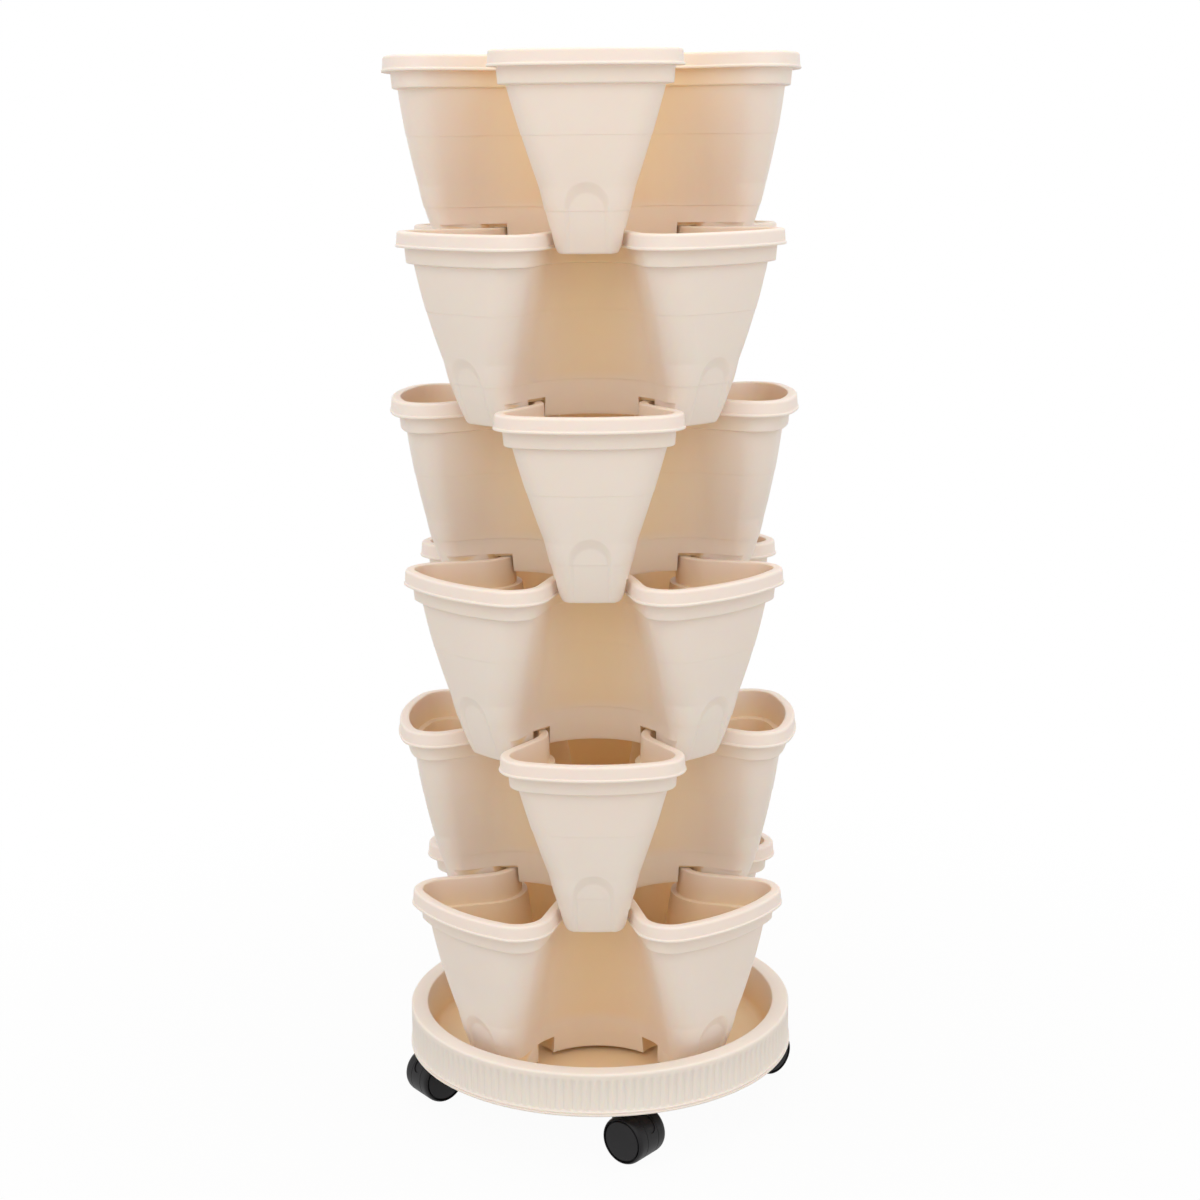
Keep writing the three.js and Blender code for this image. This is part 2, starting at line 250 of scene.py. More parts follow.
def half_lobe(plan):
    """Half a lobe of the plan, from the middle of its front, on +X, to the valley."""
    side = math.radians(plan["taper"]) + math.pi / 2
    valley_axis = math.pi / LOBES
    corner_y = plan["half_width"] - plan["corner"]
    corner_reach = plan["reach"] - plan["corner"]
    corner_start = math.asin(corner_y / corner_reach)
    corner_x = corner_reach * math.cos(corner_start)
    line_offset = corner_x * math.cos(side) + corner_y * math.sin(side) + plan["corner"]
    valley_centre = (plan["valley"] - line_offset) / (1 - math.cos(side - valley_axis))
    valley_radius = valley_centre - plan["valley"]
    front = np.linspace(0, corner_start, FRONT_STEPS, endpoint=False)
    corner = np.linspace(corner_start, side, CORNER_STEPS + 1)
    valley = np.linspace(side, valley_axis, VALLEY_STEPS + 1)
    return np.concatenate([
        plan["reach"] * np.c_[np.cos(front), np.sin(front)],
        np.array([corner_x, corner_y]) + plan["corner"] * np.c_[np.cos(corner), np.sin(corner)],
        valley_centre * np.array([math.cos(valley_axis), math.sin(valley_axis)])
        - valley_radius * np.c_[np.cos(valley), np.sin(valley)],
    ])


def turned(points, degrees):
    """Points turned about the tower's axis."""
    c, s = math.cos(math.radians(degrees)), math.sin(math.radians(degrees))
    result = np.array(points, float)
    result[:, 0] = points[:, 0] * c - points[:, 1] * s
    result[:, 1] = points[:, 0] * s + points[:, 1] * c
    return result


def clover(plan):
    """The whole outline, counter-clockwise, its first lobe towards -Y."""
    half = half_lobe(plan)
    mirrored = half[1:][::-1] * (1, -1)
    lobe = np.concatenate([mirrored, half[:-1]])
    return np.concatenate([turned(lobe, 360 * k / LOBES - 90) for k in range(LOBES)])


print("points in the plan", len(clover(LIP)))

# %% [markdown]
# ## From plans to closed bodies
# A body is a loft: plans stacked at their heights, joined by quads, closed by two flat caps.
# Pieces are cut out of each other with Boolean modifiers. The Manifold solver is exact and
# fast as long as every body is closed, which a loft with caps is. Where two walls nearly meet
# it can leave scraps thinner than paper. They are invisible, but two faces on the same points
# are an invalid mesh, and an export that repairs it tears holes. So scraps are deleted.

# %% Lofts
def new_object(name, mesh):
    """A mesh's object, at the origin of the scene."""
    piece = bpy.data.objects.new(name, mesh)
    scene.collection.objects.link(piece)
    return piece


def loft(name, rings):
    """A closed body through rings of points in mm, from the highest to the lowest."""
    count = len(rings[0])
    faces = [tuple(range(count))]
    for first in range(0, (len(rings) - 1) * count, count):
        for i in range(count):
            a, b = first + i, first + (i + 1) % count
            faces.append((a, a + count, b + count, b))
    last = (len(rings) - 1) * count
    faces.append(tuple(last + i for i in reversed(range(count))))
    mesh = bpy.data.meshes.new(name)
    mesh.from_pydata((np.concatenate(rings) * MM).tolist(), [], faces)
    return new_object(name, mesh)


def at_height(outline, z):
    """A ring: an outline's points, all at one height."""
    return np.c_[outline, np.full(len(outline), float(z))]


def prism(name, plan, bottom, top, turn=0.0):
    """An upright body on a pot's plan, turned by some degrees."""
    outline = turned(clover(plan), turn)
    return loft(name, [at_height(outline, top), at_height(outline, bottom)])


def round_bar(name, radius, bottom, top, centre, steps=24):
    """An upright round bar."""
    angles = np.linspace(0, 2 * math.pi, steps, endpoint=False)
    plan = np.array(centre) + radius * np.c_[np.cos(angles), np.sin(angles)]
    return loft(name, [at_height(plan, top), at_height(plan, bottom)])


def box_body(name, size, centre):
    """A block of mm size about a centre."""
    half = np.array(size) / 2
    plan = np.array([[-1, -1], [1, -1], [1, 1], [-1, 1]]) * half[:2] + np.array(centre[:2])
    return loft(name, [at_height(plan, centre[2] + half[2]), at_height(plan, centre[2] - half[2])])


# %% Cuts
def settle(piece):
    """Applies a piece's modifiers through the evaluated object."""
    graph = bpy.context.evaluated_depsgraph_get()
    mesh = bpy.data.meshes.new_from_object(piece.evaluated_get(graph))
    piece.modifiers.clear()
    piece.data = mesh
    return piece


def combine(piece, tool, operation):
    """Cuts, joins or intersects a closed body with another, which is used up."""
    change = piece.modifiers.new(operation, "BOOLEAN")
    change.operation = operation
    change.object = tool
    change.solver = "MANIFOLD"
    settle(piece)
    bpy.data.objects.remove(tool)
    return piece


def drop_scraps(piece):
    """Keeps the largest body of a cut piece, and returns how many loose scraps it had."""
    shape = bmesh.new()
    shape.from_mesh(piece.data)
    waiting, bodies = set(shape.verts), []
    while waiting:
        body = [waiting.pop()]
        for vert in body:
            near = {edge.other_vert(vert) for edge in vert.link_edges} & waiting
            waiting -= near
            body.extend(near)
        bodies.append(body)
    bodies.sort(key=len)
    scraps = [vert for body in bodies[:-1] for vert in body]
    bmesh.ops.delete(shape, geom=scraps, context="VERTS")
    shape.to_mesh(piece.data)
    shape.free()
    return len(bodies) - 1


solvers = bpy.types.BooleanModifier.bl_rna.properties["solver"].enum_items
print("Boolean solvers", [solver.identifier for solver in solvers])

# %% [markdown]
# ## The outside of a pot
# From the top: an upright rim with a rounded crest and a thin bead, a recessed band, a
# shoulder, and the body, which leans in to a knee and then faster to four feet. The mould also
# left two fine steps round the body, and each foot has a shallow arched panel. They could be
# carved afterwards. Here they are moves of the loft's own points, so they stay soft like the
# moulding. A feature is only crisp where rows of points lie close on both sides of its edge, so
# the rows are bunched there.

# %% Heights of the wall
TIER_DEPTH = 158.0
RIM_HEIGHT = 13.0
RIM_FLARE = 1.4
RIM_WIDTH = 8.3
BAND_INSET = 7.6
BAND_DRAFT = 1.0
BAND_HEIGHT = 12.8
SHOULDER_DROP = 1.4
KNEE_DROP = 105.6
WALL = 2.5
body_top_z = -RIM_HEIGHT - BAND_HEIGHT - SHOULDER_DROP


def eased(share):
    """A share from 0 to 1 that starts and ends gently."""
    share = np.clip(share, 0, 1)
    return share ** 2 * (3 - 2 * share)


print("the body starts", round(-body_top_z, 2), "mm under the rim")

# %% [markdown]
# ## The arched panels
# Each foot carries an arched panel, sunk with a wide slope at its crown and a narrow one at its
# sides. It could be a Boolean cut with a bevel, but its slope is wider than any bevel, so a
# depth rule moves the points. The inner wall follows the same rule and keeps its thickness.

# %% Arched panels
ARCH_HALF = 17.2
ARCH_TOP = 101.4
ARCH_SLOPE = 8.5
ARCH_SIDE_SLOPE = 3.0
ARCH_DEPTH_TOP = 3.2
ARCH_DEPTH_FOOT = 1.1
FRONT_ZONE = 8


def arch_depth(across, drop):
    """Depth of the arched panel at a place on a lobe's front, in mm."""
    centre = ARCH_TOP + ARCH_HALF
    outer = ARCH_HALF - np.where(drop < centre, np.hypot(across, drop - centre), np.abs(across))
    inner_half = ARCH_HALF - ARCH_SIDE_SLOPE
    low_centre = ARCH_TOP + ARCH_SLOPE + inner_half
    inner = np.where(drop < low_centre, np.hypot(across, drop - low_centre), np.abs(across)) - inner_half
    share = np.clip(outer / np.maximum(outer + np.maximum(inner, 0), 1e-6), 0, 1)
    share = np.where(outer > 0, share, 0.0)
    fade = np.clip((drop - ARCH_TOP) / (TIER_DEPTH - ARCH_TOP), 0, 1)
    return share * (ARCH_DEPTH_TOP + (ARCH_DEPTH_FOOT - ARCH_DEPTH_TOP) * fade)


def with_arches(ring, front):
    """Pushes in the arched panels on a ring of the body whose lobes reach a given distance."""
    result = ring.copy()
    for k in range(LOBES):
        heading = math.radians(360 * k / LOBES - 90)
        direction = np.array([math.cos(heading), math.sin(heading)])
        along = ring[:, :2] @ direction
        across = ring[:, :2] @ np.array([-direction[1], direction[0]])
        depth = arch_depth(across, -ring[:, 2]) * (along > front - FRONT_ZONE)
        result[:, :2] -= depth[:, None] * direction
    return result


print("an arch is", float(arch_depth(0.0, ARCH_TOP + ARCH_SLOPE)), "mm deep under its crown")

# %% [markdown]
# ## The leaning body
# Between its shoulder and the knee, and between the knee and the feet, the body swells by a
# millimetre or two, as moulded walls do to stay stiff. A ring of it is a blend of two plans
# with a little added in between. The edge round the feet is softer on the lobes' sides than on
# their fronts, so its radius changes along the plan.

# %% Rings of the body
UPPER_BELLY = {"reach": 1.3, "half_width": 0.7}
LOWER_BELLY = {"reach": 2.1, "half_width": 0.2}
FRONT_ROUND, SIDE_ROUND = 1.6, 3.8

half_points = FRONT_STEPS + CORNER_STEPS + 1 + VALLEY_STEPS + 1
side_share = eased((np.arange(half_points) - FRONT_STEPS) / CORNER_STEPS)
side_mask = np.tile(np.concatenate([side_share[1:][::-1], side_share[:-1]]), LOBES)
foot_rounds = FRONT_ROUND + (SIDE_ROUND - FRONT_ROUND) * side_mask


def outward(outline):
    """Unit normals of a closed outline."""
    along = np.roll(outline, -1, 0) - np.roll(outline, 1, 0)
    normal = np.c_[along[:, 1], -along[:, 0]]
    return normal / np.linalg.norm(normal, axis=1, keepdims=True)


def body_plan(z, inner, top_z, foot_z):
    """The plan of the leaning body at a height: two stretches that meet in the knee."""
    knee_z = -KNEE_DROP
    if z > knee_z:
        above, below, belly, share = BODY_TOP, KNEE, UPPER_BELLY, (top_z - z) / (top_z - knee_z)
    else:
        above, below, belly, share = KNEE, FOOT, LOWER_BELLY, (knee_z - z) / (knee_z - foot_z)
    above, below = inset(above, inner), inset(below, inner)
    plan = {key: (1 - share) * above[key] + share * below[key] for key in above}
    for key, swell in belly.items():
        plan[key] += swell * 4 * share * (1 - share)
    return plan


def body_ring(z, inner=0.0, top_z=body_top_z, foot_z=-TIER_DEPTH, inward=0.0, lift=0.0):
    """A ring of the body; inward and lift may differ from point to point."""
    plan = body_plan(z, inner, top_z, foot_z)
    outline = clover(plan)
    outline = outline - outward(outline) * (np.zeros(len(outline)) + inward)[:, None]
    return with_arches(np.c_[outline, np.zeros(len(outline)) + z + lift], plan["reach"])


print("foot edge", foot_rounds.min(), "to", foot_rounds.max(), "mm")

# %% Rows of the body
FINE_STEPS = ((-65.3, 0.3), (-124.0, 0.4))
STEP_EDGE_ROWS = (0.9, 0.12, -0.12, -0.9)
STEP_CLEARANCE = 1.1
FIRST_ROW = 1.2
ARCH_ROWS_TOP, ARCH_ROWS_END, ARCH_ROW = -98, -122, 1.0
UPPER_ROWS, FOOT_ROW, LAST_ROW = 13, 2.2, 0.3


def fine_steps(z):
    """How far the fine steps above a height have set the wall back, in mm."""
    return sum(depth for step_z, depth in FINE_STEPS if z < step_z)


def clear_of_steps(z):
    """Whether a row lies clear of the rows bunched at the fine steps."""
    return min(abs(z - step_z) for step_z, depth in FINE_STEPS) > STEP_CLEARANCE


step_rows = [step_z + away for step_z, depth in FINE_STEPS for away in STEP_EDGE_ROWS]
even_rows = [
    *np.linspace(body_top_z - FIRST_ROW, ARCH_ROWS_TOP + ARCH_ROW, UPPER_ROWS),
    *np.arange(ARCH_ROWS_TOP, ARCH_ROWS_END, -ARCH_ROW),
    *np.arange(ARCH_ROWS_END, -TIER_DEPTH + SIDE_ROUND + LAST_ROW, -FOOT_ROW),
]
body_rows = sorted(step_rows + [z for z in even_rows if clear_of_steps(z)], reverse=True)
print("rows of the body", len(body_rows))

# %% Outer body
RIM_ROUND = 2.3
BAND_ROUND = 1.2
RIM_BEAD = (
    (0.95, 9.6), (0.9, 10.3), (0.75, 10.7), (0.2, 11.0),
    (0.0, 11.5), (0.0, 12.3), (0.2, 12.8), (0.7, RIM_HEIGHT),
)
CORNER_EASE, EDGE_EASE = 0.5, 0.05


def quarter(steps):
    """Sines and cosines of a quarter turn in equal steps."""
    angles = np.linspace(0, math.pi / 2, steps + 1)
    return list(zip(np.sin(angles), np.cos(angles)))


band_foot = BAND_INSET + BAND_DRAFT
band_bottom_z = -RIM_HEIGHT - BAND_HEIGHT
rim_profile = [(RIM_FLARE + RIM_ROUND * (1 - s), RIM_ROUND * (c - 1)) for s, c in quarter(6)]
rim_profile.append((RIM_FLARE - EDGE_EASE, -RIM_ROUND - 0.8))
rim_profile += [(by, -drop) for by, drop in RIM_BEAD]
rim_profile += [
    (BAND_INSET - CORNER_EASE, -RIM_HEIGHT), (BAND_INSET, -RIM_HEIGHT - CORNER_EASE),
    (BAND_INSET + EDGE_EASE, -RIM_HEIGHT - 1.2), (band_foot - EDGE_EASE, band_bottom_z + 1.5),
]
rim_profile += [
    (band_foot + BAND_ROUND * (1 - c), band_bottom_z + BAND_ROUND * (0.5 - s)) for s, c in quarter(4)
]
outer_rings = [at_height(clover(inset(LIP, by)), z) for by, z in rim_profile]
outer_rings.append(body_ring(body_top_z))
outer_rings += [body_ring(z, inward=fine_steps(z)) for z in body_rows]
for s, c in quarter(6):
    set_back = fine_steps(-TIER_DEPTH) + foot_rounds * (1 - c)
    raised = (foot_rounds - FRONT_ROUND) * (1 - s)
    outer_rings.append(body_ring(-TIER_DEPTH + FRONT_ROUND * (1 - s), inward=set_back, lift=raised))
pot = loft("pot", outer_rings)
print("outer rings", len(outer_rings))

# %% [markdown]
# ## The inside and the slots
# The pot is hollow, and the rim of the pot below rises through a ring-shaped slot in its four
# feet until the seats rest on it. Each of these spaces is a body of its own, cut out of the
# first. Around the slot a wall is kept, so the cavity is cut back there before it is used.

# %% Cavity
OVERRUN = 3.0
INNER_ROUND = 1.2
MOUTH_FLARE, MOUTH_LIFT, ROUND_DROP = 1.0, 0.05, 0.02
SHOULDER_START, SHOULDER_EASE = 0.9, 0.4
FLOOR_ROUND = 3.0
INNER_UPPER_ROWS = 10
mouth_inset = RIM_FLARE + RIM_WIDTH
band_inner = mouth_inset + BAND_DRAFT
inner_top_z = body_top_z + WALL
inner_foot_z = WALL - TIER_DEPTH
inside = {"inner": WALL, "top_z": inner_top_z, "foot_z": inner_foot_z}

wide_mouth = mouth_inset - INNER_ROUND - MOUTH_FLARE
cavity_profile = [(wide_mouth, OVERRUN), (wide_mouth, MOUTH_LIFT)]
cavity_profile += [
    (mouth_inset - INNER_ROUND * (1 - s), -INNER_ROUND * (1 - c) - ROUND_DROP) for s, c in quarter(4)
]
cavity_profile += [
    (band_inner, inner_top_z + SHOULDER_DROP - SHOULDER_START),
    (band_inner + SHOULDER_EASE, inner_top_z + SHOULDER_EASE),
]
inner_rows = [
    *np.linspace(inner_top_z, ARCH_ROWS_TOP, INNER_UPPER_ROWS),
    *[z for z in even_rows if inner_foot_z + FLOOR_ROUND < z < ARCH_ROWS_TOP],
]
cavity_rings = [at_height(clover(inset(LIP, by)), z) for by, z in cavity_profile]
cavity_rings += [body_ring(z, **inside) for z in inner_rows]
cavity_rings += [
    body_ring(inner_foot_z + FLOOR_ROUND * (1 - s), inward=FLOOR_ROUND * (1 - c), **inside)
    for s, c in quarter(4)
]
cavity = loft("cavity", cavity_rings)
print("cavity rings", len(cavity_rings))

# %% Slot tools
TIER_PITCH = 141.2
PLUG_DEPTH = 154.0
SEAT_GAP = 0.3
SEAT_WIDTH = 26.0
MOUTH_RISE = 3.2
SLOT_INNER_GAP, SLOT_OUTER_GAP = 1.8, 3.0
seat_z = SEAT_GAP - TIER_PITCH
mouth_z = MOUTH_RISE - TIER_PITCH
half_turn = 180 / LOBES


def inner_rim_plan(gap):
    """The plan inside the rim of a pot, with a gap to it."""
    return inset(LIP, RIM_FLARE + RIM_WIDTH + BAND_DRAFT + gap)


def slot_ring(inner_gap, outer_gap, top):
    """The ring that the rim of the pot below needs, seen from the pot above."""
    bottom = -TIER_DEPTH - OVERRUN
    ring = prism("slot", inset(LIP, -outer_gap), bottom, top, half_turn)
    core = prism("slot_core", inner_rim_plan(inner_gap), bottom - OVERRUN, top + OVERRUN, half_turn)
    return combine(ring, core, "DIFFERENCE")


def plug(top):
    """The room under the raised floor between the slots."""
    return prism("plug", inner_rim_plan(SLOT_INNER_GAP), -TIER_DEPTH - OVERRUN, top, half_turn)


print("seats", round(-seat_z, 2), "mm and slots", round(-mouth_z, 2), "mm under the rim")

# %% Slots, seats and drains
DRAIN_RADIUS, DRAIN_REACH = 3.0, 56.0
combine(cavity, slot_ring(SLOT_INNER_GAP + WALL, SLOT_OUTER_GAP + WALL, mouth_z + WALL), "DIFFERENCE")
combine(cavity, plug(WALL - PLUG_DEPTH), "DIFFERENCE")
high_slot = slot_ring(SLOT_INNER_GAP, SLOT_OUTER_GAP, mouth_z)
seat_height = MOUTH_RISE + WALL + OVERRUN
for across in ((2 * LIP["reach"], SEAT_WIDTH), (SEAT_WIDTH, 2 * LIP["reach"])):
    bar = box_body("seat_bar", (*across, seat_height), (0, 0, seat_z + seat_height / 2))
    combine(high_slot, bar, "DIFFERENCE")
for tool in (high_slot, slot_ring(SLOT_INNER_GAP, SLOT_OUTER_GAP, seat_z), plug(-PLUG_DEPTH), cavity):
    combine(pot, tool, "DIFFERENCE")
drain_places = [(0.0, 0.0)] + [
    (DRAIN_REACH * math.sin(2 * math.pi * k / LOBES), -DRAIN_REACH * math.cos(2 * math.pi * k / LOBES))
    for k in range(LOBES)
]
for place in drain_places:
    drain = round_bar("drain", DRAIN_RADIUS, -PLUG_DEPTH - OVERRUN, WALL - PLUG_DEPTH + OVERRUN, place)
    combine(pot, drain, "DIFFERENCE")
print("scraps dropped", drop_scraps(pot), "faces of one pot", len(pot.data.polygons))

# %% [markdown]
# ## How deep each point lies
# The material paints shade into the folds, where less light reaches, so it needs to know where
# they are. A number on every point says it: 0 on the fronts of the lobes, rising to 1 deep
# between two lobes, and rising with depth inside the pot. An Ambient Occlusion node could find
# it while rendering, but it costs time at every bounce of light. The plan already gives it: on
# the outer skin, the distance from the straight lines that would wrap the four lobes. The thin
# feet and the rims get less of the painted shade and keep more of the pale colour.

# %% Depth in a plan
def depth_within(outline, points):
    """How far points lie inside a closed outline in the plan; negative outside it."""
    along = np.roll(outline, -1, 0) - outline
    apart = points[:, None, :] - outline
    share = np.clip((apart * along).sum(axis=2) / (along * along).sum(axis=1), 0, 1)
    distance = np.linalg.norm(apart - share[:, :, None] * along, axis=2)
    nearest = distance.argmin(axis=1)
    each = np.arange(len(points))
    edge, away = along[nearest], apart[each, nearest]
    to_the_left = edge[:, 0] * away[:, 1] - edge[:, 1] * away[:, 0]
    return np.sign(to_the_left) * distance[each, nearest]


RIM_SKIN, BAND_SKIN, BODY_SKIN, FOOT_SKIN = 6.5, 1.8, 1.6, 6.0
SHOULDER_MARGIN = 1


def outer_skin(z):
    """The pot's outer plan at a height, and how deep in it a point still counts as outside."""
    if z > -RIM_HEIGHT:
        return inset(LIP, RIM_FLARE), RIM_SKIN
    if z > body_top_z + SHOULDER_MARGIN:
        return inset(LIP, BAND_INSET), BAND_SKIN
    skin = BODY_SKIN if z > -TIER_DEPTH + SIDE_ROUND else FOOT_SKIN
    return body_plan(z, 0, body_top_z, -TIER_DEPTH), skin


print("middle of the lip", round(float(depth_within(clover(LIP), np.zeros((1, 2)))[0]), 1), "mm deep")

# %% Painted shade attribute
# How strongly shade is painted: over how far into a valley, from how deep inside, and how much less on feet
# and rims.
PAINTED_SHADE_DISTANCE = 95.0
INSIDE_START, INSIDE_DISTANCE, INSIDE_PAINTED_SHADE = 20.0, 90.0, 0.7
FOOT_PALER, FOOT_PALER_FROM, FOOT_PALER_OVER = 0.6, -115.0, 14.0
RIM_PALER = 0.6
SLICE = 4


def pot_painted_shade(points):
    """The painted-shade number of points of the pot, in mm below its own rim."""
    height = points[:, 2]
    fronts = points[:, :2] @ np.array([[0, 1, 0, -1], [-1, 0, 1, 0]])
    sideways = np.sort(np.abs(points[:, :2]), axis=1)[:, 0]
    valleys = (np.abs(points[:, 0]) + np.abs(points[:, 1])) / math.sqrt(2)
    pressed = arch_depth(sideways, -height)
    painted_shades = np.zeros(len(points))
    for low in np.arange(-TIER_DEPTH - SLICE, SLICE, SLICE):
        here = (height >= low) & (height < low + SLICE)
        if not here.any():
            continue
        plan, skin = outer_skin(low + SLICE / 2)
        outline = clover(plan)
        wrap = np.abs(outline).sum(axis=1).max() / math.sqrt(2)
        # Outside, shade is painted by how deep a point lies in a valley; inside, by how deep it lies below
        # the rim.
        deep = np.minimum(wrap - valleys[here], plan["reach"] - fronts[here].max(axis=1))
        outside = depth_within(outline, points[here, :2]) - pressed[here] < skin
        inner_painted_shade = INSIDE_PAINTED_SHADE * eased((INSIDE_START - height[here]) / INSIDE_DISTANCE)
        outer_painted_shade = np.clip(deep / PAINTED_SHADE_DISTANCE, 0, 1) ** 2
        outer_painted_shade *= 1 - FOOT_PALER * eased((FOOT_PALER_FROM - height[here]) / FOOT_PALER_OVER)
        outer_painted_shade *= np.where(height[here] > -RIM_HEIGHT, 1 - RIM_PALER, 1)
        painted_shades[here] = np.where(outside, outer_painted_shade, inner_painted_shade)
    return painted_shades


def mark_painted_shade(piece, rule):
    """Stores the painted-shade number of every point of a piece, worked out by a rule from its place."""
    places = np.zeros(len(piece.data.vertices) * 3)
    piece.data.vertices.foreach_get("co", places)
    marks = piece.data.attributes.new("painted_fold_shade", "FLOAT", "POINT")
    painted_shades = rule(places.reshape(-1, 3) / MM)
    marks.data.foreach_set("value", painted_shades)
    return painted_shades


pot_painted_shade_numbers = mark_painted_shade(pot, pot_painted_shade)
print("fold numbers", round(pot_painted_shade_numbers.min(), 2), "to", round(pot_painted_shade_numbers.max(), 2))

# %% [markdown]
# ## One pot, six places
# All six pots came out of one mould. Geometry Nodes is made for this: the tree takes the pot,
# turns it by half a lobe for every step down the stack and lifts it to its rim's height. Each
# result becomes a plain mesh, because each pot has to lift off by itself.

# %% Trees and what grows from them
def new_tree(name, sockets):
    """A Geometry Nodes tree with named inputs, and the outputs of its input node."""
    tree = bpy.data.node_groups.new(name, "GeometryNodeTree")
    tree.interface.new_socket("Geometry", in_out="OUTPUT", socket_type="NodeSocketGeometry")
    for label, kind in sockets.items():
        tree.interface.new_socket(label, in_out="INPUT", socket_type="NodeSocket" + kind)
    return tree, add(tree, "NodeGroupInput").outputs


def end_tree(tree, geometry, finish):
    """Ends a tree: real geometry, its material, and the output."""
    real = add(tree, "GeometryNodeRealizeInstances", {"Geometry": geometry})
    finished = add(tree, "GeometryNodeSetMaterial", {
        "Geometry": real.outputs["Geometry"], "Material": finish,
    })
    add(tree, "NodeGroupOutput", {"Geometry": finished.outputs["Geometry"]})


def grow(name, tree, values):
    """A plain mesh object from a tree, with its inputs set by their identifiers."""
    piece = new_object(name, bpy.data.meshes.new(name))
    growth = piece.modifiers.new("growth", "NODES")
    growth.node_group = tree
    for item in tree.interface.items_tree:
        if item.in_out == "INPUT" and item.name in values:
            growth[item.identifier] = values[item.name]
    return settle(piece)


# %% A tree that stacks pots
stack_tree, stack = new_tree("stacked_pot", {
    "Pot": "Object", "Tier": "Int", "Tier Pitch": "Float", "Tier Turn": "Float",
    "Top Rim": "Float", "Finish": "Material",
})
pot_shape = add(stack_tree, "GeometryNodeObjectInfo", {"Object": stack["Pot"]})
steps_down = add(stack_tree, "ShaderNodeMath", {0: stack["Tier"], 1: 1.0}, operation="SUBTRACT").outputs[0]
pot_turn = add(stack_tree, "ShaderNodeMath", {0: steps_down, 1: stack["Tier Turn"]}, operation="MULTIPLY")
pot_drop = add(stack_tree, "ShaderNodeMath", {0: steps_down, 1: stack["Tier Pitch"]}, operation="MULTIPLY")
rim_z = add(stack_tree, "ShaderNodeMath", {
    0: stack["Top Rim"], 1: pot_drop.outputs[0],
}, operation="SUBTRACT")
shift = add(stack_tree, "ShaderNodeCombineXYZ", {"Z": rim_z.outputs[0]})
spin = add(stack_tree, "ShaderNodeCombineXYZ", {"Z": pot_turn.outputs[0]})
placed = add(stack_tree, "GeometryNodeTransform", {
    "Geometry": pot_shape.outputs["Geometry"], "Translation": shift.outputs[0], "Rotation": spin.outputs[0],
})
end_tree(stack_tree, placed.outputs["Geometry"], stack["Finish"])
print("nodes in", stack_tree.name, len(stack_tree.nodes))

# %% Six pots
TIERS = 6
POT_CREASE, CASTER_CREASE = 32.0, 38


def smooth(piece, degrees):
    """Smooth shading, with edges kept crisp where the surface turns sharply."""
    piece.data.shade_smooth()
    piece.data.set_sharp_from_angle(angle=math.radians(degrees))
    return piece


top_rim_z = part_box("tier_1")[1].z
for tier in range(1, TIERS + 1):
    stacked = grow(f"planter_pot_{tier}", stack_tree, {
        "Pot": pot, "Tier": tier, "Tier Pitch": TIER_PITCH * MM,
        "Tier Turn": math.pi / LOBES, "Top Rim": top_rim_z, "Finish": cream,
    })
    smooth(stacked, POT_CREASE)
    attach(stacked, f"pot_{tier}")
    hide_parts(f"tier_{tier}")
bpy.data.objects.remove(pot)
print("pots", TIERS, "top rim at", round(top_rim_z, 4))

# %% [markdown]
# ## Turned pieces
# The tray, wheels, pivots and axles are all turned forms: a profile swept round an axis. The
# tree below makes them from a grid, whose rows follow the profile and whose columns go round.
# The tray's skirt has fine upright flutes that stiffen it, so the same tree can pull the
# surface in between a number of ribs, wherever the profile is marked as fluted.

# %% A tree that turns profiles: the grid and its profile
turning, turn_in = new_tree("turned_piece", {
    "Profile": "Object", "Rows": "Int", "Columns": "Int",
    "Flutes": "Int", "Flute Depth": "Float", "Finish": "Material",
})
profile = add(turning, "GeometryNodeObjectInfo", {"Object": turn_in["Profile"]}).outputs["Geometry"]
grid_columns = add(turning, "ShaderNodeMath", {0: turn_in["Columns"], 1: 1.0}, operation="ADD")
grid = add(turning, "GeometryNodeMeshGrid", {
    "Vertices X": grid_columns.outputs[0], "Vertices Y": turn_in["Rows"],
})
number = add(turning, "GeometryNodeInputIndex").outputs["Index"]
ratio = add(turning, "ShaderNodeMath", {0: number, 1: turn_in["Rows"]}, operation="DIVIDE")
column = add(turning, "ShaderNodeMath", {0: ratio.outputs[0]}, operation="FLOOR").outputs[0]
row = add(turning, "ShaderNodeMath", {0: number, 1: turn_in["Rows"]}, operation="MODULO").outputs[0]
place_on_profile = add(turning, "GeometryNodeSampleIndex", {
    "Geometry": profile, "Value": add(turning, "GeometryNodeInputPosition").outputs[0], "Index": row,
}, data_type="FLOAT_VECTOR")
fluted = add(turning, "GeometryNodeInputNamedAttribute", {"Name": "fluted"}, data_type="FLOAT")
flute_share = add(turning, "GeometryNodeSampleIndex", {
    "Geometry": profile, "Value": fluted.outputs["Attribute"], "Index": row,
}, data_type="FLOAT")
print("nodes in", turning.name, len(turning.nodes))

